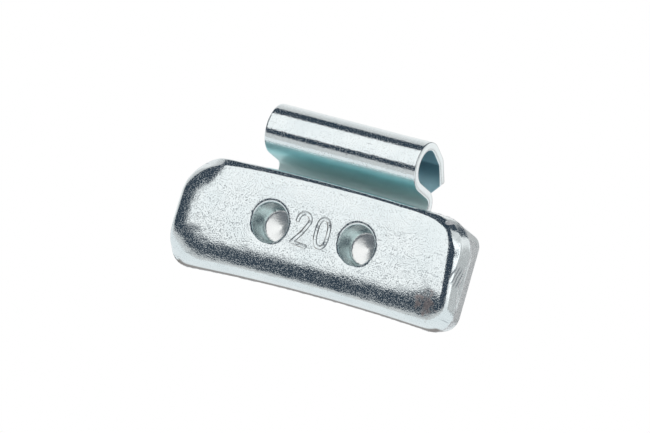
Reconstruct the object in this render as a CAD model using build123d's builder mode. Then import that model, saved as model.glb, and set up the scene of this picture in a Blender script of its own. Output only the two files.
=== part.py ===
"""Clip-on balance weight for a car wheel: a coined steel bar with a spring clip riveted to its back.

X runs along the rim, +Y points in towards the wheel and +Z points out towards the tyre.
The origin is on the axis of the curl that grips the rim flange, half way along the clip.
"""

import os
from math import cos, radians, sin, sqrt

from build123d import *

# Sizes are in millimetres and angles in degrees.

# Weight body, measured at the parting line of the coining die.
body_top_length = 33.8
body_bottom_length = 34.0
body_height = 11.9
body_depth = 6.0
rim_radius = 250.0
parting_top_corner = 4.2
parting_bottom_corner = 2.3

# Place of the body: the clear height under the curl, and how far its back lies behind the curl's axis.
curl_clearance = 1.35
body_back_y = 2.75

# Back half of the body, drawn in from the parting line to a flat back.
back_half_depth = 2.9
back_end_draft = 0.8
back_top_draft = 0.9
back_bottom_draft = 0.45
back_top_corner = 1.4
back_bottom_corner = 1.8

# Front half of the body: how far its shoulder lies inside the parting line, and how it is rounded.
shoulder_end_inset_top = 0.7
shoulder_end_inset_bottom = 0.1
shoulder_top_inset = 0.2
shoulder_bottom_inset = 0.4
shoulder_radius = 0.8

# Slow roll from the shoulder up to the tilted face. Its width at the long edges is a share of the body's height,
# and the face's corners are shares of the face's height.
face_tilt = 4.0
roll_width_share = 0.227
roll_end_width = 2.9
roll_radius = 10.0
roll_sections = 3
face_top_corner_share = 0.5
face_bottom_corner_share = 0.36

# Punched dimples in the face, each with a raised cone at its bottom. Their drop is a share of the body's height.
dimple_spacing = 10.4
dimple_drop_share = 0.4874
dimple_rim_radius = 2.25
dimple_rim_chamfer = 0.15
dimple_floor_radius = 2.02
dimple_depth = 2.7
dimple_cone_height = 1.6
dimple_cone_tip_radius = 0.12
punch_overrun = 1.0

# Rivet pegs pushed out at the back by the punches, and their peened heads.
peg_radius = 1.9
peg_clearance = 0.05
head_radius = 2.6
head_height = 0.75
head_rim_height = 0.3

# Rim clip.
sheet_thickness = 0.9
clip_width = 18.1
curl_inner_radius = 1.8
neck_rise = 9.0
neck_inner_radius = 0.9
roof_fall = 26.0
roof_length = 1.7
lip_inner_radius = 1.05
lip_fall = 52.0
lip_length = 4.4
lip_chamfer = 2.1
plate_drop = 9.6
plate_chamfer = 2.0

# Heights and planes of the body. Each plane faces the front, with its own Y axis up the body.
body_top_z = -(curl_inner_radius + sheet_thickness + curl_clearance)
dimple_drop = body_height * dimple_drop_share
dimple_z = body_top_z - dimple_drop
outline_top = dimple_drop
outline_bottom = dimple_drop - body_height
tilt = radians(face_tilt)
roll_width = body_height * roll_width_share
face_height = body_height - shoulder_top_inset - shoulder_bottom_inset - 2 * roll_width
face_top_corner = face_height * face_top_corner_share
face_bottom_corner = face_height * face_bottom_corner_share
dimple_places = [(-dimple_spacing / 2, 0), (dimple_spacing / 2, 0)]

back_plane = Plane(origin=(0, body_back_y, dimple_z), x_dir=(1, 0, 0), z_dir=(0, -1, 0))
parting_plane = back_plane.offset(back_half_depth)
punch_plane = back_plane.offset(body_depth)
face_plane = Plane(origin=punch_plane.origin, x_dir=(1, 0, 0), z_dir=(0, -cos(tilt), -sin(tilt)))


def arch_drop(half_chord, radius):
    """How far an arc falls from its crown to the end of a half chord."""
    return radius - sqrt(radius**2 - half_chord**2)


def arched_outline(end_inset_top, end_inset_bottom, top_inset, bottom_inset, top_corner, bottom_corner):
    """The body's outline, drawn in from the parting line: two arcs about the wheel's axis, and two ends."""
    top_half = body_top_length / 2 - end_inset_top
    bottom_half = body_bottom_length / 2 - end_inset_bottom
    top = outline_top - top_inset
    bottom = outline_bottom + bottom_inset
    top_end = top - arch_drop(top_half, rim_radius)
    bottom_end = bottom - arch_drop(bottom_half, rim_radius - body_height)
    with BuildSketch() as outline:
        with BuildLine():
            ThreePointArc((-top_half, top_end), (0, top), (top_half, top_end))
            Line((top_half, top_end), (bottom_half, bottom_end))
            ThreePointArc((bottom_half, bottom_end), (0, bottom), (-bottom_half, bottom_end))
            Line((-bottom_half, bottom_end), (-top_half, top_end))
        make_face()
        fillet(outline.vertices().sort_by(Axis.Y)[:2], radius=bottom_corner)
        fillet(outline.vertices().sort_by(Axis.Y)[-2:], radius=top_corner)
    return outline.sketch


def roll_plane(section):
    """Plane of one section of the roll, from 0 at the face to the last at the shoulder."""
    return face_plane.offset(-arch_drop(roll_width * section / roll_sections, roll_radius))


def roll_outline(section):
    """Outline of one section of the roll, drawn in from the shoulder."""
    share = section / roll_sections
    inset = roll_width * (1 - share)
    end_inset = roll_end_width * (1 - share)
    return arched_outline(
        shoulder_end_inset_top + end_inset,
        shoulder_end_inset_bottom + end_inset,
        shoulder_top_inset + inset,
        shoulder_bottom_inset + inset,
        face_top_corner + (parting_top_corner - face_top_corner) * share,
        face_bottom_corner + (parting_bottom_corner - face_bottom_corner) * share,
    )


# Punch that leaves a tapered wall and a raised cone, with its axis along Z and the face at zero
wall_taper = (dimple_rim_radius - dimple_floor_radius) / dimple_depth
with BuildPart() as dimple_punch:
    with BuildSketch(Plane.XZ):
        with BuildLine():
            Polyline(
                (0, punch_overrun),
                (dimple_rim_radius + punch_overrun * wall_taper, punch_overrun),
                (dimple_floor_radius, -dimple_depth),
                (dimple_cone_tip_radius, dimple_cone_height - dimple_depth),
                (0, dimple_cone_height - dimple_depth),
                close=True,
            )
        make_face()
    revolve(axis=Axis.Z)

# Domed rivet head, hanging below zero with its axis along Z
with BuildPart() as rivet_head:
    with BuildSketch(Plane.XZ):
        with BuildLine():
            Polyline((0, -head_height), (0, 0), (head_radius, 0), (head_radius, -head_rim_height))
            TangentArc((0, -head_height), (head_radius, -head_rim_height), tangent=(1, 0))
        make_face()
    revolve(axis=Axis.Z)

with BuildPart() as weight_body:
    # Front half: the roll from the face down to the shoulder, then a wall from there to the parting line
    for section in range(roll_sections + 1):
        with BuildSketch(roll_plane(section)):
            add(roll_outline(section))
    loft()
    with BuildSketch(roll_plane(roll_sections)):
        add(roll_outline(roll_sections))
    with BuildSketch(parting_plane):
        add(arched_outline(0, 0, 0, 0, parting_top_corner, parting_bottom_corner))
    loft(ruled=True)
    shoulder = [edge for edge in weight_body.edges() if roll_plane(roll_sections).contains(edge.center())]
    fillet(shoulder, radius=shoulder_radius)

    # Back half, from the parting line to the flat back
    with BuildSketch(parting_plane):
        add(arched_outline(0, 0, 0, 0, parting_top_corner, parting_bottom_corner))
    with BuildSketch(back_plane):
        add(
            arched_outline(
                back_end_draft,
                back_end_draft,
                back_top_draft,
                back_bottom_draft,
                back_top_corner,
                back_bottom_corner,
            )
        )
    loft(ruled=True)

    # Dimples, with a small chamfer at each rim
    with Locations(punch_plane):
        with Locations(*dimple_places):
            add(dimple_punch.part, mode=Mode.SUBTRACT)
    face = weight_body.faces().sort_by_distance(face_plane.origin)[0]
    chamfer([rim for wire in face.inner_wires() for rim in wire.edges()], length=dimple_rim_chamfer)

    # Pegs through the clip's plate, and their heads on the far side of it
    with BuildSketch(back_plane):
        with Locations(*dimple_places):
            Circle(peg_radius)
    extrude(amount=-sheet_thickness)
    with Locations(back_plane.offset(-sheet_thickness)):
        with Locations(*dimple_places):
            add(rivet_head.part)

weight_body.part.label = "weight_body"

# Middle line of the clip's strip: up the plate, forward round the neck, over the curl and down the lip
half_sheet = sheet_thickness / 2
plate_y = body_back_y + half_sheet
curl_radius = curl_inner_radius + half_sheet
neck_radius = neck_inner_radius + half_sheet
lip_radius = lip_inner_radius + half_sheet
rise = radians(neck_rise)
neck_length = (plate_y - neck_radius * (1 - sin(rise)) + curl_radius * sin(rise)) / cos(rise)
neck_z = -(curl_radius + neck_radius) * cos(rise) - neck_length * sin(rise)
curl_turn = 180 - neck_rise + roof_fall

with BuildPart() as rim_clip:
    with BuildSketch(Plane.YZ):
        with BuildLine():
            plate = Line((plate_y, body_top_z - plate_drop), (plate_y, neck_z))
            neck_bend = JernArc(plate @ 1, plate % 1, neck_radius, 90 - neck_rise)
            neck = PolarLine(neck_bend @ 1, neck_length, direction=neck_bend % 1)
            curl = JernArc(neck @ 1, neck % 1, curl_radius, -curl_turn)
            roof = PolarLine(curl @ 1, roof_length, direction=curl % 1)
            lip_bend = JernArc(roof @ 1, roof % 1, lip_radius, roof_fall - lip_fall)
            lip = PolarLine(lip_bend @ 1, lip_length, direction=lip_bend % 1)
        trace(line_width=sheet_thickness)
    extrude(amount=clip_width / 2, both=True)
    lip_end = Plane.YZ.from_local_coords(lip @ 1)
    end_face = rim_clip.faces().sort_by_distance(lip_end)[0]
    chamfer(end_face.edges().filter_by(Axis.X, reverse=True), length=lip_chamfer)
    plate_foot = rim_clip.faces().sort_by(Axis.Z)[0]
    chamfer(plate_foot.edges().filter_by(Axis.X, reverse=True), length=plate_chamfer)
    with Locations(back_plane):
        with Locations(*dimple_places):
            Hole(radius=peg_radius + peg_clearance)

rim_clip.part.label = "rim_clip"

os.makedirs("parts", exist_ok=True)
export_step(weight_body.part, "parts/weight_body.step")
export_step(rim_clip.part, "parts/rim_clip.step")
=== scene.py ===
"""Clip-on wheel balance weight: plated bar with stamped figures, spring clip and plain studio."""

import math

import bmesh
import bpy
from bpy.props import FloatProperty, FloatVectorProperty, IntProperty, PointerProperty
from mathutils import Matrix, Vector, kdtree, noise


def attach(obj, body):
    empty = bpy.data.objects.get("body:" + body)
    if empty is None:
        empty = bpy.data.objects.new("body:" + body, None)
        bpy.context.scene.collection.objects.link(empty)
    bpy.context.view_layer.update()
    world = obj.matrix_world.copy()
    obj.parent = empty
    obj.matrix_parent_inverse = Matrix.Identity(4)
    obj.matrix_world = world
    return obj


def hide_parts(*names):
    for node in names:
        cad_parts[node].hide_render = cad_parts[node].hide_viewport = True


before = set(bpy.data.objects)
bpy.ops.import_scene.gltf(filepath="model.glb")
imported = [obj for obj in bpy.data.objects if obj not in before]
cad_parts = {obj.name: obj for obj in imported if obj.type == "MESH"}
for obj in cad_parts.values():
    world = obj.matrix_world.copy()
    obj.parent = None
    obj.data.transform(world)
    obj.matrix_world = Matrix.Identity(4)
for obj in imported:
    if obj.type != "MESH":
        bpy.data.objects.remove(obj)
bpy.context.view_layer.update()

bl_info = {
    "name": "Wheel Balance Weight",
    "version": (1, 0, 0),
    "blender": (4, 5, 0),
    "location": "View3D > Sidebar > Balance Weight",
    "description": "Dresses a clip-on wheel balance weight around its solid model",
    "category": "Object",
}

MM = 0.001
BODY = "root"
BARE_METAL = "bare_metal"  # attribute of the bar's skin: how far its plating is rubbed off

# The bar, in millimetres: its arc, its top edge, where its ends begin, and the dimples' axes,
# the foot of their walls, their floors and their mouths.
WHEEL_RADIUS = 250.0
TOP_EDGE_Z = -4.05
END_X = 15.4
DIMPLE_X = 5.2
DIMPLE_Z = -9.85
DIMPLE_FOOT = 2.3
DIMPLE_FOOT_Y = -1.9
DIMPLE_FLOOR = 1.95
DIMPLE_FLOOR_Y = -0.58
DIMPLE_MOUTH_Y = -3.0

# How far from its axis a dimple begins to close in and has closed in fully, in millimetres, and
# the dish of its floor: its radius, how blunt its middle is, and the passes that smooth it.
CLOSING_START = 3.3
CLOSING_FULL = 2.5
DISH_RADIUS = 2.02
DISH_BLUNTNESS = 0.1
DISH_PASSES = 6

# Shares of the smoothing that reach the ends and the top edge, which has more at its left end, and
# how far below that edge it is full and runs out, in millimetres.
RIGHT_END_WEAR = 0.15
LEFT_END_WEAR = 0.5
WEAR_SETBACK = 0.2
TOP_WEAR = 0.04
TOP_LEFT_WEAR = 0.36
TOP_WEAR_FULL = 0.8
TOP_WEAR_END = 1.8

# Heights between which the right end's worn edge widens, and between which it runs out at the top.
BEVEL_LOW_Z = -11.0
BEVEL_WIDE_Z = -6.5
BEVEL_FULL_Z = -5.2
BEVEL_TOP_Z = -4.5

# Where the front falls back, in millimetres from the face's middle, and the lean of its right edge.
DOME_HALF_HEIGHT = 4.0
FACE_HALF_LENGTH = 13.0
FACE_HALF_HEIGHT = 4.5
LOW_CORNER_X = 12.0
HIGH_CORNER_X = 11.6
LOW_CORNER_Z = -2.2
HIGH_CORNER_Z = 0.6
CORNER_AREA = 12.0
RIGHT_CORNER_SHARE = 0.3
EDGE_LEAN = 0.062
EDGE_LEAN_Z = -5.0

# The parting line, in millimetres: how it wanders, and where it strays on the ends.
SLOW_WANDER = 0.18
QUICK_WANDER = 0.10
STRAY_Z = -11.2
STRAY_SPREAD = 2.3

# The flash, in shares of its height and in half widths, and the nick: its depth as a share of its
# radius, and how far its plating is rubbed off.
FLASH_MEAN = 0.6
FLASH_SPREAD = 0.9
FLASH_REACH = 3
FLASH_BARE_WIDTH = 1.6
NICK_DEPTH = 0.25
NICK_BARE = 0.8

# How evenly the figures are pressed in, as shares of their depth.
STAMP_MEAN = 0.75
STAMP_SPREAD = 0.8
STAMP_LEAST = 0.3

# In the bar's finish: places of the brown stain and of the shear marks on the right end, in
# millimetres, and the curve of the bar's lower edge, per metre.
STAIN_PLACE = (14.5, -2.8, -13.9)
SHEAR_PLACE = (16.7, -1.7, -10.3)
LOWER_ARC = 2.1

# Each stroke of the figures: its middle in millimetres, if it closes, its knots in half heights.
FIGURE_STROKES = (
    (
        (-1.32, 0.1),
        False,
        (
            (-0.42, 0.50, "AUTO"),
            (-0.30, 0.84, "AUTO"),
            (0.06, 0.99, "AUTO"),
            (0.40, 0.74, "AUTO"),
            (0.30, 0.30, "AUTO"),
            (-0.48, -0.86, "VECTOR"),
            (0.46, -0.92, "VECTOR"),
        ),
    ),
    (
        (1.07, 0.27),
        True,
        ((0.0, 0.86, "AUTO"), (-0.40, 0.0, "AUTO"), (0.0, -0.86, "AUTO"), (0.40, 0.0, "AUTO")),
    ),
)


class BarSizes(bpy.types.PropertyGroup):
    """Sizes of the coined bar's surface and of the figures stamped into it."""

    grain: FloatProperty(
        name="Mesh grain", description="Edge length of the bar's skin",
        default=0.15 * MM, unit="LENGTH", precision=5,
    )
    softening: IntProperty(
        name="Softening", description="Smoothing passes that wear down sharp edges", default=4
    )
    dome: FloatProperty(
        name="Dome", description="How far the face's long edges lie behind its middle",
        default=0.02 * MM, unit="LENGTH", precision=5,
    )
    end_fall: FloatProperty(
        name="End fall", description="How far the face's lower edge falls back at the ends",
        default=0.10 * MM, unit="LENGTH", precision=5,
    )
    corner_fall: FloatProperty(
        name="Corner fall", description="How far the front falls back at its left corners",
        default=0.55 * MM, unit="LENGTH", precision=5,
    )
    bevel_end: FloatProperty(
        name="Bevel end", description="Where the worn edge of the right end meets its wall",
        default=16.13 * MM, unit="LENGTH", precision=5,
    )
    bevel_width: FloatProperty(
        name="Bevel width", description="Width of that worn edge at its upper end",
        default=0.5 * MM, unit="LENGTH", precision=5,
    )
    bevel_depth: FloatProperty(
        name="Bevel depth", description="How deep that worn edge cuts at its upper end",
        default=0.17 * MM, unit="LENGTH", precision=5,
    )
    bevel_turn: FloatProperty(
        name="Bevel turn", description="How far that worn edge faces to the side",
        default=math.radians(58.0), subtype="ANGLE",
    )
    end_roll: FloatProperty(
        name="End roll", description="How far the face rolls back before that worn edge",
        default=0.17 * MM, unit="LENGTH", precision=5,
    )
    end_roll_width: FloatProperty(
        name="End roll width", description="Width of that roll",
        default=0.9 * MM, unit="LENGTH", precision=5,
    )
    dish_depth: FloatProperty(
        name="Dish depth", description="How far each dimple's floor is dished",
        default=0.4 * MM, unit="LENGTH", precision=5,
    )
    dimple_closing: FloatProperty(
        name="Dimple closing", description="Share by which the dimples have closed in",
        default=0.06, subtype="FACTOR",
    )
    top_depth: FloatProperty(
        name="Top depth", description="How deep the worn edge of the top cuts at its left corner",
        default=0.25 * MM, unit="LENGTH", precision=5,
    )
    top_turn: FloatProperty(
        name="Top turn", description="How far that worn edge faces upwards",
        default=math.radians(38.0), subtype="ANGLE",
    )
    ripple: FloatProperty(
        name="Ripple", description="Height of the unevenness left by coining",
        default=0.011 * MM, unit="LENGTH", precision=6,
    )
    end_start: FloatProperty(
        name="End start", description="Where the rounder ends begin",
        default=12.6 * MM, unit="LENGTH", precision=4,
    )
    end_reach: FloatProperty(
        name="End reach", description="How soon the ends are fully round",
        default=1.4 * MM, unit="LENGTH", precision=4,
    )
    end_softening: IntProperty(
        name="End softening", description="Smoothing passes that round the ends", default=110
    )
    parting_depth: FloatProperty(
        name="Parting depth", description="Place of the die's parting line along Y",
        default=-0.15 * MM, unit="LENGTH", precision=5,
    )
    flash_height: FloatProperty(
        name="Flash height", description="How far the ragged flash stands out at the parting line",
        default=0.06 * MM, unit="LENGTH", precision=5,
    )
    flash_width: FloatProperty(
        name="Flash width", description="Half width of the flash",
        default=0.08 * MM, unit="LENGTH", precision=5,
    )
    flash_stray: FloatProperty(
        name="Flash stray", description="How far the flash strays to the front on the ends",
        default=0.9 * MM, unit="LENGTH", precision=5,
    )
    nick: FloatVectorProperty(
        name="Nick", description="Place of a small blow on the shoulder",
        default=(14.4 * MM, -1.5 * MM, -5.15 * MM), subtype="TRANSLATION", unit="LENGTH",
    )
    nick_radius: FloatProperty(
        name="Nick radius", description="Half width of that blow",
        default=0.26 * MM, unit="LENGTH", precision=5,
    )
    figure_height: FloatProperty(
        name="Figure height", description="Height of the stamped figures",
        default=3.5 * MM, unit="LENGTH", precision=4,
    )
    figure_stroke: FloatProperty(
        name="Figure stroke", description="Width of the figures' strokes",
        default=0.46 * MM, unit="LENGTH", precision=5,
    )
    figure_depth: FloatProperty(
        name="Figure depth", description="How deep the figures are pressed in",
        default=0.075 * MM, unit="LENGTH", precision=5,
    )
    figure_wall: FloatProperty(
        name="Figure wall", description="Width of the strokes' walls",
        default=0.095 * MM, unit="LENGTH", precision=5,
    )
    figure_stray: FloatProperty(
        name="Figure stray", description="How far the strokes' outlines stray",
        default=0.03 * MM, unit="LENGTH", precision=5,
    )
    face_point: FloatVectorProperty(
        name="Face point", description="Middle of the face, between the dimples",
        default=(0, -3.25 * MM, DIMPLE_Z * MM), subtype="TRANSLATION", unit="LENGTH",
    )
    face_tilt: FloatProperty(
        name="Face tilt", description="How far the face leans from upright",
        default=math.radians(4.0), subtype="ANGLE",
    )


class ClipSizes(bpy.types.PropertyGroup):
    """Sizes of the spring clip, measured on the middle of its sheet."""

    thickness: FloatProperty(
        name="Sheet", description="Thickness of the spring steel",
        default=0.9 * MM, unit="LENGTH", precision=4,
    )
    width: FloatProperty(
        name="Width", description="Length of the clip along the rim",
        default=18.1 * MM, unit="LENGTH", precision=4,
    )
    plate_y: FloatProperty(
        name="Plate place", description="Middle of the plate's sheet along Y",
        default=3.2 * MM, unit="LENGTH", precision=4,
    )
    plate_foot: FloatProperty(
        name="Plate foot", description="Lowest edge of the plate",
        default=-13.65 * MM, unit="LENGTH", precision=4,
    )
    plate_chamfer: FloatProperty(
        name="Plate corners", description="Cut corners of the plate",
        default=2.0 * MM, unit="LENGTH", precision=4,
    )
    neck_radius: FloatProperty(
        name="Neck radius", description="Bend from the plate to the neck",
        default=1.35 * MM, unit="LENGTH", precision=4,
    )
    neck_rise: FloatProperty(
        name="Neck rise", description="Slope of the neck",
        default=math.radians(9.0), subtype="ANGLE",
    )
    curl_radius: FloatProperty(
        name="Curl radius", description="Bend round the rim's edge",
        default=2.25 * MM, unit="LENGTH", precision=4,
    )
    roof_fall: FloatProperty(
        name="Roof fall", description="Slope behind the curl",
        default=math.radians(26.0), subtype="ANGLE",
    )
    roof_length: FloatProperty(
        name="Roof length", description="Straight part behind the curl",
        default=1.7 * MM, unit="LENGTH", precision=4,
    )
    lip_radius: FloatProperty(
        name="Lip radius", description="Bend from the roof to the lip",
        default=1.5 * MM, unit="LENGTH", precision=4,
    )
    lip_fall: FloatProperty(
        name="Lip fall", description="Slope of the lip",
        default=math.radians(52.0), subtype="ANGLE",
    )
    lip_length: FloatProperty(
        name="Lip length", description="Straight part of the lip",
        default=4.4 * MM, unit="LENGTH", precision=4,
    )
    lip_chamfer: FloatProperty(
        name="Lip corners", description="Cut corners of the lip",
        default=2.1 * MM, unit="LENGTH", precision=4,
    )
    edge_round: FloatProperty(
        name="Edge round", description="Round on the sheared edges",
        default=0.11 * MM, unit="LENGTH", precision=5,
    )
    strips: IntProperty(
        name="Strips", description="Divisions of the sheet along the rim", default=60
    )
    waver: FloatProperty(
        name="Waver", description="Slight unevenness of the bent sheet",
        default=0.02 * MM, unit="LENGTH", precision=5,
    )


class ZincFinish(bpy.types.PropertyGroup):
    """Colours of the plating, and tones that paint light and shade on it."""

    plating: FloatVectorProperty(
        name="Plating", description="Bright zinc",
        default=(0.82, 0.89, 0.905), subtype="COLOR", min=0, max=1,
    )
    pale: FloatVectorProperty(
        name="Pale plating", description="Lighter clouds in the zinc",
        default=(0.88, 0.94, 0.95), subtype="COLOR", min=0, max=1,
    )
    # Dull specks in the zinc; the same tone also paints dirt and shade in the clip's seam.
    pits: FloatVectorProperty(
        name="Pits", description="Dull specks in the zinc",
        default=(0.30, 0.33, 0.36), subtype="COLOR", min=0, max=1,
    )
    bare: FloatVectorProperty(
        name="Bare metal", description="Pale rubbed metal on the flash, the nick and the right end",
        default=(0.97, 0.975, 0.98), subtype="COLOR", min=0, max=1,
    )
    hollow: FloatVectorProperty(
        name="Dimples", description="Slightly green zinc on the dimples' walls",
        default=(0.80, 0.90, 0.90), subtype="COLOR", min=0, max=1,
    )
    # Near-white tone that paints the highlight on the dimples' floors.
    dish: FloatVectorProperty(
        name="Dimple floors", description="Clean zinc on the dimples' floors",
        default=(0.98, 1.0, 0.99), subtype="COLOR", min=0, max=1,
    )
    stain: FloatVectorProperty(
        name="Stain", description="Brown stain near a corner of the bar",
        default=(0.42, 0.27, 0.25), subtype="COLOR", min=0, max=1,
    )
    # Warm brown: real tarnish in the figures' strokes, and painted shade under the bar.
    tarnish_and_underside_shade: FloatVectorProperty(
        name="Tarnish", description="Warm brown tarnish",
        default=(0.20, 0.155, 0.135), subtype="COLOR", min=0, max=1,
    )
    # Partly a blue-green film, partly a painted tint of light bounced about in the shaded neck.
    teal: FloatVectorProperty(
        name="Passivation", description="Blue-green film in the clip's neck",
        default=(0.57, 0.98, 1.0), subtype="COLOR", min=0, max=1,
    )
    # Paler tone painted low in the neck, where it is less shaded.
    lit_lower_neck: FloatVectorProperty(
        name="Lower neck", description="Pale green film low in the clip's neck",
        default=(0.88, 1.0, 0.98), subtype="COLOR", min=0, max=1,
    )
    # Dark teal tone that paints the shade inside the curl.
    curl_painted_shade: FloatVectorProperty(
        name="Curl's inside", description="Dark film inside the curl",
        default=(0.28, 0.50, 0.585), subtype="COLOR", min=0, max=1,
    )


class StudioSizes(bpy.types.PropertyGroup):
    """Floor, surroundings and camera."""

    floor_drop: FloatProperty(
        name="Floor drop", description="Height of the floor", default=-80 * MM, unit="LENGTH"
    )
    floor_front: FloatProperty(
        name="Floor front", description="Front edge of the floor", default=-60 * MM, unit="LENGTH"
    )
    floor_reach: FloatProperty(
        name="Floor reach", description="How far the floor goes", default=0.9, unit="LENGTH"
    )
    camera_distance: FloatProperty(
        name="Camera distance", description="From the face", default=1.2, unit="LENGTH"
    )
    azimuth: FloatProperty(
        name="Azimuth", description="Camera's turn towards +X",
        default=math.radians(27.0), subtype="ANGLE",
    )
    elevation: FloatProperty(
        name="Elevation", description="Camera's height angle",
        default=math.radians(-3.0), subtype="ANGLE",
    )
    roll: FloatProperty(
        name="Roll", description="Camera's roll", default=math.radians(16.3), subtype="ANGLE"
    )
    view_width: FloatProperty(
        name="View width", description="Width seen at the face",
        default=67.43 * MM, unit="LENGTH", precision=5,
    )
    aim: FloatVectorProperty(
        name="Aim", description="Middle of the picture from the face point, to the right and up",
        size=2, default=(1.307 * MM, 1.769 * MM), unit="LENGTH", precision=6,
    )


def new_piece(name, data):
    """Links a new object for a mesh, a curve or a camera."""
    piece = bpy.data.objects.new(name, data)
    bpy.context.scene.collection.objects.link(piece)
    return piece


def settle(piece):
    """Puts what a piece's modifiers make into its mesh, and stops if nothing is left of it."""
    graph = bpy.context.evaluated_depsgraph_get()
    made = bpy.data.meshes.new_from_object(piece.evaluated_get(graph))
    piece.modifiers.clear()
    piece.data = made
    if not made.polygons:
        raise RuntimeError(f"{piece.name} came out empty")


def coat(piece, *finishes):
    """Gives a piece its finishes, in the order in which its faces number them."""
    piece.data.materials.clear()
    for name in finishes:
        piece.data.materials.append(bpy.data.materials[name])


def shade(piece, crease):
    """Shades a piece smooth, with creases at edges sharper than an angle in degrees."""
    piece.data.shade_smooth()
    piece.data.set_sharp_from_angle(angle=math.radians(crease))


def held(value):
    """A value held between nothing and one."""
    return min(max(value, 0), 1)


def gone(value, start, end):
    """The share of the way from start to end that a value has gone."""
    return held((value - start) / (end - start))


def uneven(place, scale, shift=(0, 0, 0)):
    """Smooth unevenness from about -1 to 1, at a place in millimetres."""
    return noise.noise(place * scale + Vector(shift))


def feed(socket, content):
    """Links a socket to another one, or sets its value."""
    if isinstance(content, bpy.types.NodeSocket):
        socket.id_data.links.new(content, socket)
    else:
        socket.default_value = content


def node(tree, kind, inputs=None, **options):
    """Adds a node, sets its options, and feeds its inputs by name or number."""
    made = tree.nodes.new(kind)
    for option, value in options.items():
        setattr(made, option, value)
    for title, content in (inputs or {}).items():
        feed(made.inputs[title], content)
    return made


def calc(operation, *operands):
    """A Math node's output, in the tree that its linked operands are in."""
    tree = next(value.id_data for value in operands if isinstance(value, bpy.types.NodeSocket))
    made = node(tree, "ShaderNodeMath", dict(enumerate(operands)), operation=operation)
    return made.outputs[0]


def plus(first, second):
    """Sum of two sockets or numbers."""
    return calc("ADD", first, second)


def less(first, second):
    """Difference of two sockets or numbers."""
    return calc("SUBTRACT", first, second)


def times(product, *others):
    """Product of sockets and numbers."""
    for other in others:
        product = calc("MULTIPLY", product, other)
    return product


def most(first, *others):
    """Largest of several sockets or numbers."""
    for other in others:
        first = calc("MAXIMUM", first, other)
    return first


def hypotenuse(first, second):
    """Length across two sides at a right angle."""
    return calc("SQRT", plus(times(first, first), times(second, second)))


def ramp(value, low, high, start=0.0, end=1.0):
    """Goes smoothly from start to end while a value goes from low to high."""
    span = {"Value": value, "From Min": low, "From Max": high, "To Min": start, "To Max": end}
    made = node(value.id_data, "ShaderNodeMapRange", span, interpolation_type="SMOOTHSTEP")
    return made.outputs["Result"]


def fade(length, low, high, start=0.0, end=1.0):
    """Goes smoothly from start to end while a length goes from low to high, in millimetres."""
    return ramp(length, low * MM, high * MM, start, end)


def band(value, low, high, soft):
    """One between two values and zero outside, with soft edges."""
    return times(ramp(value, low - soft, low + soft), ramp(value, high + soft, high - soft))


def blend_colours(share, first, second):
    """Colour between two, by a share."""
    inputs = {"Factor": share, 6: first, 7: second}
    return node(share.id_data, "ShaderNodeMix", inputs, data_type="RGBA").outputs[2]


def blend_values(share, first, second):
    """Value between two, by a share."""
    return node(share.id_data, "ShaderNodeMix", {"Factor": share, 2: first, 3: second}).outputs[0]


def clouded(place, scale, detail, roughness=0.5):
    """Cloudy pattern from 0 to 1."""
    inputs = {"Vector": place, "Scale": scale, "Detail": detail, "Roughness": roughness}
    return node(place.id_data, "ShaderNodeTexNoise", inputs).outputs["Fac"]


def distance_to(place, point):
    """Distance of the surface from a point in millimetres."""
    inputs = {0: place, 1: Vector(point) * MM}
    made = node(place.id_data, "ShaderNodeVectorMath", inputs, operation="DISTANCE")
    return made.outputs["Value"]


def lean(place, angle):
    """How far the surface lies from the curl's axis, along a line that leans back by an angle."""
    inputs = {0: place, 1: (0, math.sin(angle), math.cos(angle))}
    made = node(place.id_data, "ShaderNodeVectorMath", inputs, operation="DOT_PRODUCT")
    return made.outputs["Value"]


def shader_group(name, inputs, outputs):
    """An empty shader node group with named sockets: returns the tree and its end nodes."""
    tree = bpy.data.node_groups.new(name, "ShaderNodeTree")
    for title, kind, default in inputs:
        socket = tree.interface.new_socket(title, in_out="INPUT", socket_type=kind)
        if default is not None:
            socket.default_value = default
    for title in outputs:
        tree.interface.new_socket(title, in_out="OUTPUT", socket_type="NodeSocketFloat")
    return tree, node(tree, "NodeGroupInput"), node(tree, "NodeGroupOutput")


def plating_grain_group():
    """Fine crystalline grain, matt specks, dull pits and pale clouds of zinc plating."""
    tree, begin, end = shader_group(
        "plating_grain",
        [
            ("Vector", "NodeSocketVector", None),
            ("Grain Scale", "NodeSocketFloat", 8000.0),
            ("Pit Scale", "NodeSocketFloat", 2600.0),
            ("Pit Level", "NodeSocketFloat", 0.70),
            ("Cloud Scale", "NodeSocketFloat", 260.0),
        ],
        ["Height", "Specks", "Pits", "Clouds"],
    )
    place, scale, pit_scale, pit_level, cloud_scale = list(begin.outputs)[:5]
    fine = clouded(place, scale, detail=0.0)
    wide = clouded(place, times(scale, 0.45), detail=0.0)
    moved = node(tree, "ShaderNodeVectorMath", {0: place, 1: (0.3, 0.7, 0.1)}, operation="ADD")
    crystals = clouded(moved.outputs["Vector"], scale, detail=0.0)
    pits = clouded(place, pit_scale, detail=2.0, roughness=0.6)
    pits = ramp(pits, pit_level, plus(pit_level, 0.05))
    clouds = clouded(place, cloud_scale, detail=5.0, roughness=0.6)
    height = plus(fine, times(wide, 0.5))
    feed(end.inputs["Height"], less(height, times(pits, 0.6)))
    feed(end.inputs["Specks"], ramp(crystals, 0.52, 0.66))
    feed(end.inputs["Pits"], pits)
    feed(end.inputs["Clouds"], ramp(clouds, 0.35, 0.65))
    return tree


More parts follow.
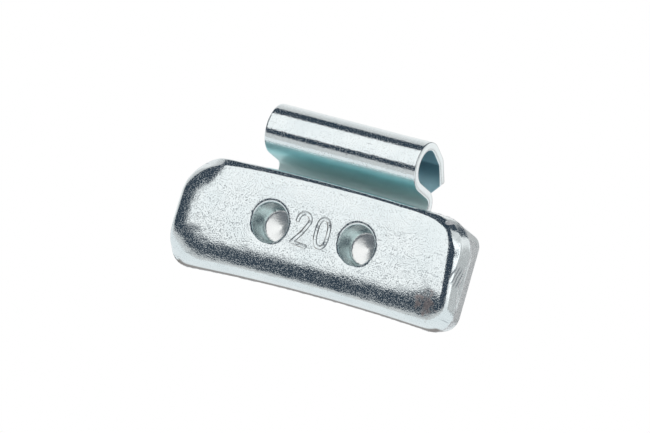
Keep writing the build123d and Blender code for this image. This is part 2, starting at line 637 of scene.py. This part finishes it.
def handling_scratch_group():
    """Short fine scratches in one direction, broken up so that few of them show."""
    tree, begin, end = shader_group(
        "handling_scratches",
        [
            ("Vector", "NodeSocketVector", None),
            ("Turn", "NodeSocketVector", None),
            ("Level", "NodeSocketFloat", 0.72),
        ],
        ["Scratches"],
    )
    place, turn, level = list(begin.outputs)[:3]
    stretch = {"Vector": place, "Rotation": turn, "Scale": (380.0, 380.0, 6500.0)}
    turned = node(tree, "ShaderNodeMapping", stretch).outputs["Vector"]
    lines = ramp(clouded(turned, 1.0, detail=1.0), level, plus(level, 0.04))
    patches = ramp(clouded(turned, 0.9, detail=1.0), 0.46, 0.58)
    feed(end.inputs["Scratches"], times(lines, patches))
    return tree


class Zinc:
    """A finish of bright zinc over steel, over which tones can be laid."""

    def __init__(self, name, groups, finish, grain_depth, roughness, speck_roughness):
        material = bpy.data.materials.new(name)
        material.use_nodes = True
        tree = material.node_tree
        self.tree = tree
        self.surface = tree.nodes["Principled BSDF"]
        self.place = node(tree, "ShaderNodeTexCoord").outputs["Object"]
        self.x, self.y, self.z = node(tree, "ShaderNodeSeparateXYZ", {0: self.place}).outputs
        inputs = {"Vector": self.place, "Grain Scale": 9000.0, "Pit Level": 0.70}
        grain = node(tree, "ShaderNodeGroup", inputs, node_tree=groups["grain"]).outputs
        marks = []
        for turn in ((0.0, 0.5, 0.0), (0.2, -0.9, 0.0)):
            inputs = {"Vector": self.place, "Turn": turn, "Level": 0.72}
            made = node(tree, "ShaderNodeGroup", inputs, node_tree=groups["scratches"])
            marks.append(made.outputs["Scratches"])
        scratches = most(*marks)
        dull = most(grain["Pits"], times(scratches, 0.8))
        colour = blend_colours(grain["Clouds"], (*finish.plating, 1), (*finish.pale, 1))
        self.colour = blend_colours(times(dull, 0.6), colour, (*finish.pits, 1))
        rough = ramp(grain["Clouds"], 0.0, 1.0, roughness * 0.85, roughness * 1.15)
        rough = plus(rough, times(grain["Specks"], speck_roughness))
        self.rough = plus(rough, times(dull, 0.2))
        self.metal = 1.0
        self.height = less(grain["Height"], times(scratches, 0.25))
        self.depth = grain_depth

    def lay(self, share, tone, roughness, metal=1.0):
        """Lays a tone with its own roughness and metal share over the finish, where a mask says."""
        self.colour = blend_colours(share, self.colour, (*tone, 1))
        self.rough = blend_values(share, self.rough, roughness)
        if metal != self.metal:
            self.metal = blend_values(share, self.metal, metal)

    def close(self):
        """Joins the finish to its surface."""
        inputs = {"Strength": 1.0, "Distance": self.depth, "Height": self.height}
        bump = node(self.tree, "ShaderNodeBump", inputs)
        feed(self.surface.inputs["Base Color"], self.colour)
        feed(self.surface.inputs["Roughness"], self.rough)
        feed(self.surface.inputs["Metallic"], self.metal)
        feed(self.surface.inputs["Normal"], bump.outputs["Normal"])


def coined_zinc(groups, finish, sheet):
    """Finish of the bar: dimples with painted highlights on their floors, stains, painted shade
    under it, dirt and painted shade in the clip's seam, and metal rubbed bare.
    """
    bar = Zinc(
        "coined_zinc", groups, finish, grain_depth=0.0043 * MM, roughness=0.08, speck_roughness=0.28
    )
    ragged = clouded(bar.place, 1500.0, detail=4.0)
    arched = plus(bar.z, times(bar.x, bar.x, LOWER_ARC))  # height, with the arc straightened

    # The dimples' walls, and their floors in a near-white tone that paints the highlight on them.
    off_axis = hypotenuse(less(calc("ABSOLUTE", bar.x), DIMPLE_X * MM), less(bar.z, DIMPLE_Z * MM))
    inside = times(fade(off_axis, 2.18, 2.04), fade(bar.y, -3.15, -2.6))
    bar.lay(inside, finish.hollow, roughness=0.26)
    floor = times(fade(off_axis, 1.85, 1.7), fade(bar.y, -2.7, -2.4))
    bar.lay(floor, finish.dish, roughness=0.26)

    # A ragged stain near the lower right corner, and painted shade in a warm brown under the bar,
    # stronger towards its front.
    spot = distance_to(bar.place, STAIN_PLACE)
    spot = plus(spot, times(less(ragged, 0.5), 4.5 * MM))
    bar.lay(times(fade(spot, 1.3, 0.3), 0.62), finish.stain, roughness=0.42)
    under = times(fade(bar.y, -1.15, -0.75), fade(arched, -15.3, -15.5))
    bar.lay(times(under, fade(bar.y, 0.0, 2.7, 0.8, 0.45)), finish.tarnish_and_underside_shade, roughness=0.5)

    # Dirt and painted shade in the seam round the clip's plate, but not on the peened heads.
    beside = less(calc("ABSOLUTE", bar.x), sheet.width / 2)
    below = less(sheet.plate_foot, bar.z)
    across = times(plus(plus(beside, below), sheet.plate_chamfer), math.sqrt(0.5))
    past_plate = most(beside, below, across)
    seam = times(fade(past_plate, 0.32, 0.06), fade(bar.y, 2.5, 2.7), fade(bar.y, 3.0, 2.8))
    bar.lay(times(seam, 0.75), finish.pits, roughness=0.45)

    # Shear marks and frosted specks on the right end.
    sheared = fade(distance_to(bar.place, SHEAR_PLACE), 1.3, 0.8)
    sheared = times(fade(bar.x, 16.2, 16.4), sheared)
    lines = plus(times(bar.y, 13000.0), times(bar.z, -5000.0))
    lines = calc("SINE", plus(lines, times(ragged, 3.0)))
    bar.lay(times(sheared, ramp(lines, 0.1, 0.6, 0.0, 0.95)), finish.pits, roughness=0.4)
    frost = clouded(bar.place, 5200.0, detail=2.0)
    back_end = times(fade(bar.x, 15.9, 16.2), fade(bar.y, -0.5, 0.1))
    bar.lay(times(back_end, ramp(frost, 0.50, 0.56)), finish.bare, roughness=0.5, metal=0.2)
    bar.lay(times(back_end, ramp(frost, 0.44, 0.40, 0.0, 0.8)), finish.pits, roughness=0.4)

    # Metal rubbed bare on the flash and in the nick, and a coarser grain below the face.
    rubbed = node(bar.tree, "ShaderNodeAttribute", attribute_name=BARE_METAL).outputs["Fac"]
    bar.lay(ramp(rubbed, 0.12, 0.4), finish.bare, roughness=0.5, metal=0.1)
    bar.height = times(bar.height, fade(arched, -12.0, -13.0, 1.0, 1.7))
    bar.close()


def stamped_zinc(groups, finish):
    """Finish of the walls of the figures' strokes, with broken tarnish."""
    stamped = Zinc(
        "stamped_zinc", groups, finish, grain_depth=0.0045 * MM, roughness=0.2, speck_roughness=0.3
    )
    broken = clouded(stamped.place, 1400.0, detail=2.0)
    stamped.lay(ramp(broken, 0.42, 0.62, 0.2, 0.75), finish.tarnish_and_underside_shade, roughness=0.4)
    stamped.close()


def spring_zinc(groups, finish, sheet):
    """Finish of the clip: a blue-green film and painted light and shade in its neck, painted shade
    inside its curl, and clean sheared ends.
    """
    clip = Zinc(
        "spring_zinc", groups, finish, grain_depth=0.005 * MM, roughness=0.06, speck_roughness=0.22
    )
    # Neck: a blue-green film whose tone also paints light bounced about in its shade, and low down
    # a paler tone painted where it is less shaded.
    neck = times(band(clip.z, -5.2 * MM, -1.75 * MM, 0.25 * MM), fade(clip.y, 4.1, 3.9))
    clip.lay(times(neck, 0.95), finish.teal, roughness=0.45)
    low = times(neck, fade(clip.z, -2.4, -3.4))
    clip.lay(times(low, 0.85), finish.lit_lower_neck, roughness=0.55, metal=0.5)

    # Painted shade inside the curl, and under the roof and lip behind it, darkest towards the top.
    curl_painted_shade = fade(hypotenuse(clip.y, clip.z), 2.1, 1.95)
    under_roof = fade(lean(clip.place, sheet.roof_fall), 2.05, 1.95)
    under_lip = fade(lean(clip.place, sheet.lip_fall), 2.72, 2.62)
    hidden = times(under_roof, under_lip, fade(clip.z, -2.6, -2.3))
    curl_painted_shade = most(curl_painted_shade, times(hidden, fade(clip.y, 0.4, 0.9)))
    clip.lay(times(curl_painted_shade, fade(clip.z, -1.2, 0.4, 0.8, 1.0)), finish.curl_painted_shade, roughness=0.65)
    clip.lay(fade(calc("ABSOLUTE", clip.x), 8.9, 9.0), finish.pale, roughness=0.16)
    clip.close()


class BALANCE_WEIGHT_OT_finishes(bpy.types.Operator):
    """Makes the zinc finishes of the bar, its stamped figures and the clip"""

    bl_idname = "balance_weight.finishes"
    bl_label = "Make Finishes"

    def execute(self, context):
        finish = context.scene.zinc_finish
        sheet = context.scene.clip_sizes
        groups = {"grain": plating_grain_group(), "scratches": handling_scratch_group()}
        coined_zinc(groups, finish, sheet)
        stamped_zinc(groups, finish)
        spring_zinc(groups, finish, sheet)
        return {"FINISHED"}


def face_frame(sizes):
    """Matrix that lays a flat shape on the bar's face, with Y up it and Z out of it."""
    tilt = Matrix.Rotation(math.pi / 2 + sizes.face_tilt, 4, "X")
    return Matrix.Translation(sizes.face_point) @ tilt


def figure_strokes(sizes):
    """Close points along the middle of the figures' strokes, laid on the face."""
    curve = bpy.data.curves.new("figures", "CURVE")
    curve.dimensions = "3D"
    curve.resolution_u = 64
    unit = sizes.figure_height / 2
    for middle, closed, points in FIGURE_STROKES:
        spline = curve.splines.new("BEZIER")
        spline.use_cyclic_u = closed
        spline.bezier_points.add(len(points) - 1)
        for knot, (x, y, handle) in zip(spline.bezier_points, points):
            knot.co = (x * unit + middle[0] * MM, y * unit + middle[1] * MM, 0)
            knot.handle_left_type = handle
            knot.handle_right_type = handle
    strokes = new_piece("figures", curve)
    graph = bpy.context.evaluated_depsgraph_get()
    mesh = bpy.data.meshes.new_from_object(strokes.evaluated_get(graph))
    bpy.data.objects.remove(strokes)
    mesh.transform(face_frame(sizes))
    line = bmesh.new()
    line.from_mesh(mesh)
    long = [edge for edge in line.edges if edge.calc_length() > sizes.grain / 4]
    bmesh.ops.subdivide_edges(line, edges=long, cuts=60)
    tree = kdtree.KDTree(len(line.verts))
    for number, vert in enumerate(line.verts):
        tree.insert(vert.co, number)
    tree.balance()
    line.free()
    return tree


def refine(skin, faces):
    """Divides each edge of some of the skin's faces in four."""
    edges = list({edge for face in faces for edge in face.edges})
    bmesh.ops.subdivide_edges(skin, edges=edges, cuts=3, use_grid_fill=True)


def stamp_figures(skin, sizes):
    """Refines the skin along the figures' strokes and presses them in, with steep narrow walls."""
    strokes = figure_strokes(sizes)
    inward = face_frame(sizes).to_3x3() @ Vector((0, 0, -1))
    middle = Vector(sizes.face_point)
    stamp = 2 * sizes.figure_height
    half = sizes.figure_stroke / 2
    reach = half + 2 * sizes.grain
    refine(skin, [f for f in skin.faces if strokes.find(f.calc_center_median())[2] < reach])
    for face in skin.faces:
        place = face.calc_center_median()
        if (place - middle).length < stamp:
            face.material_index = int(0 < half - strokes.find(place)[2] < sizes.figure_wall)
    for vert in skin.verts:
        if (vert.co - middle).length < stamp:
            place = vert.co / MM
            edge = half + sizes.figure_stray * uneven(place, scale=2.2)
            share = held((edge - strokes.find(vert.co)[2]) / sizes.figure_wall)
            blow = STAMP_MEAN + STAMP_SPREAD * uneven(place, scale=0.9, shift=(3, 1, 8))
            depth = sizes.figure_depth * min(max(blow, STAMP_LEAST), 1)
            vert.co += inward * (depth * share * share * (3 - 2 * share))


def round_ends(piece, sizes):
    """Wears the bar rounder in front of the parting line, at its ends and along its top edge."""
    worn = piece.vertex_groups.new(name="worn_ends")
    for vert in piece.data.vertices:
        place = vert.co / MM
        outward = (abs(vert.co.x) - sizes.end_start) / sizes.end_reach
        forward = (sizes.parting_depth - vert.co.y) / sizes.end_reach - WEAR_SETBACK
        end = held(min(outward, forward)) * (RIGHT_END_WEAR if vert.co.x > 0 else LEFT_END_WEAR)
        below = TOP_EDGE_Z - place.x**2 / (2 * WHEEL_RADIUS) - place.z
        top = TOP_WEAR + TOP_LEFT_WEAR * gone(place.x, 14, -14) ** 1.5
        share = max(end, gone(below, TOP_WEAR_END, TOP_WEAR_FULL) * held(forward) * top)
        if share > 0:
            worn.add([vert.index], share, "REPLACE")
    soft = piece.modifiers.new("Worn ends", "SMOOTH")
    soft.factor = 0.5
    soft.iterations = sizes.end_softening
    soft.vertex_group = worn.name
    settle(piece)


def dish_dimples(skin, sizes):
    """Closes each dimple in slightly, and gives it a shallow dished floor."""
    floor = set()
    for vert in skin.verts:
        place = vert.co / MM
        away = place - Vector((math.copysign(DIMPLE_X, place.x), place.y, DIMPLE_Z))
        off_axis = away.length
        if off_axis > CLOSING_START or place.y > 0:
            continue
        if off_axis < DIMPLE_FOOT and place.y > DIMPLE_FOOT_Y:
            floor.add(vert)
        if off_axis < DIMPLE_FLOOR and place.y > DIMPLE_MOUTH_Y:
            floor.add(vert)
            out = off_axis / DISH_RADIUS
            dish = math.hypot(1, DISH_BLUNTNESS) - math.hypot(out, DISH_BLUNTNESS)
            vert.co.y = DIMPLE_FLOOR_Y * MM + sizes.dish_depth * dish
        closing = sizes.dimple_closing * gone(off_axis, CLOSING_START, CLOSING_FULL)
        vert.co.x -= away.x * closing * MM
        vert.co.z -= away.z * closing * MM
    for _ in range(DISH_PASSES):
        bmesh.ops.smooth_vert(
            skin, verts=list(floor), factor=0.5, use_axis_x=True, use_axis_y=True, use_axis_z=True
        )


def wear_flat(near, facing, axis, depth, sizes):
    """Wears a narrow flat on an edge that runs along an axis, as deep at each place as asked."""
    span = 4
    rows = {}
    for vert in near:
        row = round(vert.co[axis] / sizes.grain)
        rows[row] = max(rows.get(row, -1), facing.dot(vert.co))
    evened = {}
    for row in rows:
        beside = [rows[other] for other in range(row - span, row + span + 1) if other in rows]
        evened[row] = sum(beside) / len(beside)
    for vert in near:
        row = math.floor(vert.co[axis] / sizes.grain)
        onward = vert.co[axis] / sizes.grain - row
        first = evened.get(row, evened.get(row + 1))
        edge = first + onward * (evened.get(row + 1, first) - first)
        cut = depth(vert.co / MM)
        over = facing.dot(vert.co) - edge + cut
        if over > 0 and cut > 0:
            vert.co -= facing * over


def bevel_share(place):
    """How far the worn edge of the right end has widened at a place, from low down upwards."""
    return gone(place.z, BEVEL_LOW_Z, BEVEL_WIDE_Z)


def end_flat(skin, sizes):
    """Wears the front edge of the right end, more towards its upper end."""
    facing = Vector((math.sin(sizes.bevel_turn), -math.cos(sizes.bevel_turn), 0))
    front = -1.0 * MM
    near = [vert for vert in skin.verts if vert.co.x > sizes.end_start and vert.co.y < front]

    def depth(place):
        share = bevel_share(place) * gone(place.z, BEVEL_TOP_Z, BEVEL_FULL_Z)
        return sizes.bevel_depth * share**2

    wear_flat(near, facing, 2, depth, sizes)


def top_flat(skin, sizes):
    """Wears the front edge of the bar's top, most at its left corner and less at its right one."""
    facing = Vector((0, -math.cos(sizes.top_turn), math.sin(sizes.top_turn)))
    out, front, low = 16 * MM, -1.2 * MM, -8 * MM
    near = [
        vert for vert in skin.verts
        if abs(vert.co.x) < out and vert.co.y < front and vert.co.z > low
    ]

    def depth(place):
        left_half = gone(place.x, 4, -8)
        left_corner = gone(place.x, -8, -14) ** 2
        right_corner = gone(place.x, 10.5, 13.5) ** 2
        share = 0.1 + 0.18 * left_half + 0.72 * left_corner + 0.324 * right_corner
        return sizes.top_depth * share * gone(abs(place.x), 16, 14.4)

    wear_flat(near, facing, 0, depth, sizes)


def front_fall(place, sizes):
    """How far the front of the bar falls back at a place: a slight dome, soft ends and corners."""
    up = place.z - sizes.face_point[2] / MM
    out = abs(place.x)
    fall = sizes.dome * (up / DOME_HALF_HEIGHT) ** 2
    if up < 0:
        fall += sizes.end_fall * (out / FACE_HALF_LENGTH * up / FACE_HALF_HEIGHT) ** 2
    aside = max(out - (LOW_CORNER_X if up < 0 else HIGH_CORNER_X), 0)
    apart = max(up - HIGH_CORNER_Z, LOW_CORNER_Z - up, 0)
    corner = sizes.corner_fall * (RIGHT_CORNER_SHARE if place.x > 0 else 1.0)
    fall += corner * (aside * apart / CORNER_AREA) ** 2
    lean_by = EDGE_LEAN * (place.z - EDGE_LEAN_Z) * MM
    past = place.x * MM - sizes.bevel_end + lean_by + sizes.bevel_width * bevel_share(place)
    fall += sizes.end_roll * held(1 + past / sizes.end_roll_width) ** 2
    return fall * gone(place.y, -0.6, -1.8)


def flash_line(place, sizes):
    """Where the ragged parting line runs along Y, at a place on the bar's edge."""
    wander = SLOW_WANDER * uneven(place, scale=0.45, shift=(2, 9, 4))
    wander += QUICK_WANDER * uneven(place, scale=1.9)
    level = (place.z - STRAY_Z) / STRAY_SPREAD
    stray = gone(abs(place.x), 15.6, 16.4) * math.exp(-level * level)
    return sizes.parting_depth + wander * MM - sizes.flash_stray * stray


def on_flash(face, sizes):
    """Whether a face of the skin lies at the parting line on one of the bar's ends."""
    place = face.calc_center_median()
    if abs(place.x) <= END_X * MM:
        return False
    return abs(place.y - flash_line(place / MM, sizes)) < 2 * sizes.grain


def wear_bar(skin, sizes):
    """Leaves the ripple of coining, a front that falls back, ragged flash and a nick on the bar."""
    refine(skin, [face for face in skin.faces if on_flash(face, sizes)])
    skin.normal_update()
    bare = skin.verts.layers.float.new(BARE_METAL)
    nick = Vector(sizes.nick)
    for vert in skin.verts:
        place = vert.co / MM
        swell = uneven(place, scale=0.55) + 0.6 * uneven(place, scale=1.3, shift=(7, 3, 1))
        move = vert.normal * (swell * sizes.ripple)
        move.y += front_fall(place, sizes)
        sideways = 1 - abs(vert.normal.y)
        off = (vert.co.y - flash_line(place, sizes)) / sizes.flash_width
        if abs(off) < FLASH_REACH and sideways > 0.2:
            ragged = FLASH_MEAN + FLASH_SPREAD * uneven(place, scale=2.6, shift=(5, 5, 5))
            ragged = sideways * max(ragged, 0)
            move += vert.normal * (sizes.flash_height * ragged * math.exp(-off * off))
            vert[bare] = ragged * math.exp(-(off / FLASH_BARE_WIDTH) ** 2)
        blow = math.hypot(vert.co.x - nick.x, vert.co.z - nick.z) / sizes.nick_radius
        if blow < 1 and vert.co.y < nick.y:
            move.y += NICK_DEPTH * sizes.nick_radius * (1 - blow * blow)
            vert[bare] = NICK_BARE * (1 - blow**4)
        vert.co += move


class BALANCE_WEIGHT_OT_bar(bpy.types.Operator):
    """Makes the coined bar with its dimples, worn edges, parting flash and stamped figures"""

    bl_idname = "balance_weight.bar"
    bl_label = "Make Bar"

    def execute(self, context):
        sizes = context.scene.bar_sizes
        skin = bmesh.new()
        skin.from_mesh(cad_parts["weight_body"].data)
        bmesh.ops.remove_doubles(skin, verts=skin.verts, dist=0.001 * MM)
        mesh = bpy.data.meshes.new("weight_bar")
        skin.to_mesh(mesh)
        skin.free()
        piece = new_piece("weight_bar", mesh)
        even = piece.modifiers.new("Even skin", "REMESH")
        even.mode = "VOXEL"
        even.voxel_size = sizes.grain
        soft = piece.modifiers.new("Worn edges", "SMOOTH")
        soft.factor = 0.5
        soft.iterations = sizes.softening
        settle(piece)
        round_ends(piece, sizes)
        skin = bmesh.new()
        skin.from_mesh(piece.data)
        dish_dimples(skin, sizes)
        end_flat(skin, sizes)
        top_flat(skin, sizes)
        wear_bar(skin, sizes)
        stamp_figures(skin, sizes)
        coat(piece, "coined_zinc", "stamped_zinc")
        skin.to_mesh(piece.data)
        skin.free()
        shade(piece, crease=50)
        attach(piece, BODY)
        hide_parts("weight_body")
        return {"FINISHED"}


def bend(strip, edge, centre, angle, steps):
    """Spins the strip's last edge round an axis along X, and returns the new last edge."""
    made = bmesh.ops.spin(
        strip, geom=[*edge.verts, edge], cent=centre, axis=(1, 0, 0), angle=angle, steps=steps,
        use_merge=False,
    )
    return next(part for part in made["geom_last"] if isinstance(part, bmesh.types.BMEdge))


def run_on(strip, edge, step):
    """Extrudes the strip's last edge by a step, and returns the new last edge."""
    made = bmesh.ops.extrude_edge_only(strip, edges=[edge])["geom"]
    ends = [part for part in made if isinstance(part, bmesh.types.BMVert)]
    bmesh.ops.translate(strip, vec=step, verts=ends)
    return next(
        part for part in made
        if isinstance(part, bmesh.types.BMEdge) and all(vert in ends for vert in part.verts)
    )


def along(angle):
    """Direction in the YZ plane at an angle from +Y towards +Z."""
    return Vector((0, math.cos(angle), math.sin(angle)))


def middle_of(edge):
    """Middle of an edge."""
    return (edge.verts[0].co + edge.verts[1].co) / 2


def clip_strip(sizes):
    """The clip's middle surface, from the foot of its plate to the end of its lip, and that end."""
    neck_steps, curl_steps, lip_steps = 14, 56, 8
    strip = bmesh.new()
    half = sizes.width / 2
    foot = [strip.verts.new((x, sizes.plate_y, sizes.plate_foot)) for x in (-half, half)]
    edge = strip.edges.new(foot)
    rise = sizes.neck_rise
    neck_y = sizes.plate_y - sizes.neck_radius
    reach = neck_y + (sizes.neck_radius + sizes.curl_radius) * math.sin(rise)
    length = reach / math.cos(rise)
    neck_z = -(sizes.curl_radius + sizes.neck_radius) * math.cos(rise) - length * math.sin(rise)
    edge = run_on(strip, edge, (0, 0, neck_z - sizes.plate_foot))
    edge = bend(strip, edge, (0, neck_y, neck_z), math.pi / 2 - rise, neck_steps)
    edge = run_on(strip, edge, along(math.pi - rise) * length)
    edge = bend(strip, edge, (0, 0, 0), rise - math.pi - sizes.roof_fall, curl_steps)
    edge = run_on(strip, edge, along(-sizes.roof_fall) * sizes.roof_length)
    centre = middle_of(edge) - along(math.pi / 2 - sizes.roof_fall) * sizes.lip_radius
    edge = bend(strip, edge, centre, sizes.roof_fall - sizes.lip_fall, lip_steps)
    edge = run_on(strip, edge, along(-sizes.lip_fall) * sizes.lip_length)
    return strip, middle_of(edge)


def cut_corners(strip, end, heading, half, cut):
    """Cuts both corners off the strip's last flat run, at half a right angle."""
    across = Vector((1, 0, 0))
    flat = heading.cross(across)
    level = 0.01 * MM
    for side in (-1, 1):
        run = [
            face for face in strip.faces
            if all(abs((vert.co - end).dot(flat)) < level for vert in face.verts)
        ]
        geom = list({part for face in run for part in (face, *face.edges, *face.verts)})
        bmesh.ops.bisect_plane(
            strip, geom=geom, plane_co=end + across * side * (half - cut),
            plane_no=across * side + heading, clear_outer=True, dist=0.0001 * MM,
        )


class BALANCE_WEIGHT_OT_clip(bpy.types.Operator):
    """Makes the spring clip from one bent strip"""

    bl_idname = "balance_weight.clip"
    bl_label = "Make Clip"

    def execute(self, context):
        sizes = context.scene.clip_sizes
        crease = 40
        strip, lip_end = clip_strip(sizes)
        half = sizes.width / 2
        cut_corners(strip, lip_end, along(-sizes.lip_fall), half, sizes.lip_chamfer)
        plate_end = Vector((0, sizes.plate_y, sizes.plate_foot))
        cut_corners(strip, plate_end, along(-math.pi / 2), half, sizes.plate_chamfer)
        long = [e for e in strip.edges if abs(e.verts[0].co.x - e.verts[1].co.x) > half]
        bmesh.ops.subdivide_edges(strip, edges=long, cuts=sizes.strips, use_grid_fill=True)
        bmesh.ops.recalc_face_normals(strip, faces=strip.faces)
        for vert in strip.verts:
            vert.co.z += sizes.waver * uneven(vert.co / MM, scale=0.22)
        mesh = bpy.data.meshes.new("rim_spring")
        strip.to_mesh(mesh)
        strip.free()
        piece = new_piece("rim_spring", mesh)
        sheet = piece.modifiers.new("Sheet", "SOLIDIFY")
        sheet.thickness = sizes.thickness
        sheet.offset = 0
        sheet.use_even_offset = True
        edges = piece.modifiers.new("Sheared edges", "BEVEL")
        edges.width = sizes.edge_round
        edges.segments = 3
        edges.limit_method = "ANGLE"
        edges.angle_limit = math.radians(crease)
        settle(piece)
        coat(piece, "spring_zinc")
        shade(piece, crease)
        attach(piece, BODY)
        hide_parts("rim_clip")
        return {"FINISHED"}


def floor_material():
    """Pale floor, white to the camera and in reflections, that still takes a soft shadow."""
    material = bpy.data.materials.new("pale_floor")
    material.use_nodes = True
    tree = material.node_tree
    tree.nodes.clear()
    path = node(tree, "ShaderNodeLightPath").outputs
    seen = most(path["Is Camera Ray"], path["Is Glossy Ray"], path["Is Transmission Ray"])
    paint = node(tree, "ShaderNodeBsdfDiffuse", {"Color": (0.9, 0.9, 0.9, 1)}).outputs[0]
    white = {"Color": (0.91, 0.94, 0.955, 1), "Strength": 1.0}
    glow = node(tree, "ShaderNodeEmission", white).outputs[0]
    pale = node(tree, "ShaderNodeMixShader", {0: times(seen, 0.85), 1: paint, 2: glow}).outputs[0]
    clear = node(tree, "ShaderNodeBsdfTransparent").outputs[0]
    behind = node(tree, "ShaderNodeNewGeometry").outputs["Backfacing"]
    both = node(tree, "ShaderNodeMixShader", {0: behind, 1: pale, 2: clear}).outputs[0]
    node(tree, "ShaderNodeOutputMaterial", {"Surface": both})
    return material


def studio_world():
    """White surroundings with a dark gap round a white front panel; the camera sees plain white."""
    world = bpy.data.worlds.new("studio")
    world.use_nodes = True
    tree = world.node_tree
    tree.nodes.clear()
    way = node(tree, "ShaderNodeTexCoord").outputs["Generated"]
    x, y, z = node(tree, "ShaderNodeSeparateXYZ", {0: way}).outputs
    turn = calc("ARCTAN2", z, times(y, -1.0))  # from straight ahead of the face, up and over
    deg = math.radians

    # The gap reaches from below the face up to a ceiling, which is furthest back in the middle.
    ceiling = ramp(band(x, -0.27, 0.38, 0.12), 0.0, 1.0, deg(97), deg(142))
    ceiling = less(ceiling, ramp(x, -0.68, -0.80, 0.0, deg(45)))
    front = times(ramp(turn, deg(-35), deg(-31)), ramp(less(turn, ceiling), deg(2), deg(-2)))
    front = times(front, band(x, -0.975, 0.965, 0.012))
    panel = times(band(turn, deg(-11), deg(64), deg(2)), band(x, -0.60, 0.26, 0.03))
    gap = times(front, less(1.0, panel))

    # The light is dimmer in front and overhead than behind, where two greyer cards stand.
    cards = most(band(x, 0.60, 0.95, 0.07), band(x, -0.30, 0.25, 0.05))
    cards = times(cards, ramp(y, 0.34, 0.46))
    light = most(ramp(turn, deg(95), deg(150), 0.62, 0.92), panel)
    light = times(light, ramp(cards, 0.0, 1.0, 1.0, 0.55))
    lit = blend_colours(light, (0, 0, 0, 1), (1, 1, 1, 1))

    # A brighter side on the right, above and beside the object.
    above = times(ramp(x, 0.60, 0.75), ramp(turn, deg(85), deg(95)))
    beside = times(ramp(x, 0.945, 0.97), ramp(z, -0.05, 0.25, 0.4, 1.0))
    aside = times(most(above, beside), ramp(y, 0.46, 0.34))
    lit = blend_colours(aside, lit, (1.25, 1.25, 1.25, 1))

    shown = blend_colours(gap, lit, (0.036, 0.053, 0.074, 1))
    seen = node(tree, "ShaderNodeLightPath").outputs["Is Camera Ray"]
    shown = blend_colours(seen, shown, (1, 1, 1, 1))
    back = node(tree, "ShaderNodeBackground", {"Color": shown, "Strength": 1.0}).outputs[0]
    node(tree, "ShaderNodeOutputWorld", {"Surface": back})
    return world


def studio_camera(sizes, face_point):
    """Camera that sees the face from the right and a little below, rolled as it was held."""
    turn, lift, roll = sizes.azimuth, sizes.elevation, sizes.roll
    right = Vector((math.cos(turn), math.sin(turn), 0))
    level = Vector((-math.sin(turn), math.cos(turn), 0))
    ahead = level * math.cos(lift) - Vector((0, 0, math.sin(lift)))
    up = right.cross(ahead)
    across = right * math.cos(roll) + up * math.sin(roll)
    upward = up * math.cos(roll) - right * math.sin(roll)
    aim = face_point + across * sizes.aim[0] + upward * sizes.aim[1]
    data = bpy.data.cameras.new("camera")
    data.sensor_width = 36.0
    data.lens = data.sensor_width * sizes.camera_distance / sizes.view_width
    data.clip_start = 0.01
    data.clip_end = 10.0
    camera = new_piece("camera", data)
    turned = Matrix((across, upward, -ahead)).transposed().to_4x4()
    camera.matrix_world = Matrix.Translation(aim - ahead * sizes.camera_distance) @ turned
    return camera


class BALANCE_WEIGHT_OT_stage(bpy.types.Operator):
    """Makes the floor, the studio's surroundings and the camera"""

    bl_idname = "balance_weight.stage"
    bl_label = "Make Stage"

    def execute(self, context):
        scene = context.scene
        sizes = scene.studio_sizes
        slab = bmesh.new()
        bmesh.ops.create_grid(slab, x_segments=1, y_segments=1, size=1.0)
        bmesh.ops.translate(slab, vec=(0, 1, 0), verts=slab.verts)
        spread = (sizes.floor_reach, sizes.floor_reach / 2, 1)
        bmesh.ops.scale(slab, vec=spread, verts=slab.verts)
        bmesh.ops.translate(slab, vec=(0, sizes.floor_front, sizes.floor_drop), verts=slab.verts)
        mesh = bpy.data.meshes.new("floor")
        slab.to_mesh(mesh)
        slab.free()
        floor = new_piece("floor", mesh)
        floor.data.materials.append(floor_material())
        scene.world = studio_world()
        scene.view_settings.view_transform = "Standard"
        scene.camera = studio_camera(sizes, Vector(scene.bar_sizes.face_point))
        return {"FINISHED"}


class BALANCE_WEIGHT_PT_sidebar(bpy.types.Panel):
    """Lists the steps that dress the balance weight"""

    bl_idname = "BALANCE_WEIGHT_PT_sidebar"
    bl_label = "Balance Weight"
    bl_space_type = "VIEW_3D"
    bl_region_type = "UI"
    bl_category = "Balance Weight"

    def draw(self, context):
        for step in STEPS:
            self.layout.operator(step.bl_idname)
        for name, group in SETTINGS.items():
            box = self.layout.box()
            for title in group.__annotations__:
                box.prop(getattr(context.scene, name), title)


STEPS = (
    BALANCE_WEIGHT_OT_finishes,
    BALANCE_WEIGHT_OT_bar,
    BALANCE_WEIGHT_OT_clip,
    BALANCE_WEIGHT_OT_stage,
)
SETTINGS = {
    "bar_sizes": BarSizes,
    "clip_sizes": ClipSizes,
    "zinc_finish": ZincFinish,
    "studio_sizes": StudioSizes,
}
CLASSES = (*SETTINGS.values(), *STEPS, BALANCE_WEIGHT_PT_sidebar)


def register():
    for cls in CLASSES:
        bpy.utils.register_class(cls)
    for name, group in SETTINGS.items():
        setattr(bpy.types.Scene, name, PointerProperty(type=group))


def unregister():
    for name in SETTINGS:
        delattr(bpy.types.Scene, name)
    for cls in reversed(CLASSES):
        bpy.utils.unregister_class(cls)


def main():
    register()
    bpy.ops.balance_weight.finishes()
    bpy.ops.balance_weight.bar()
    bpy.ops.balance_weight.clip()
    bpy.ops.balance_weight.stage()


if __name__ == "__main__":
    main()
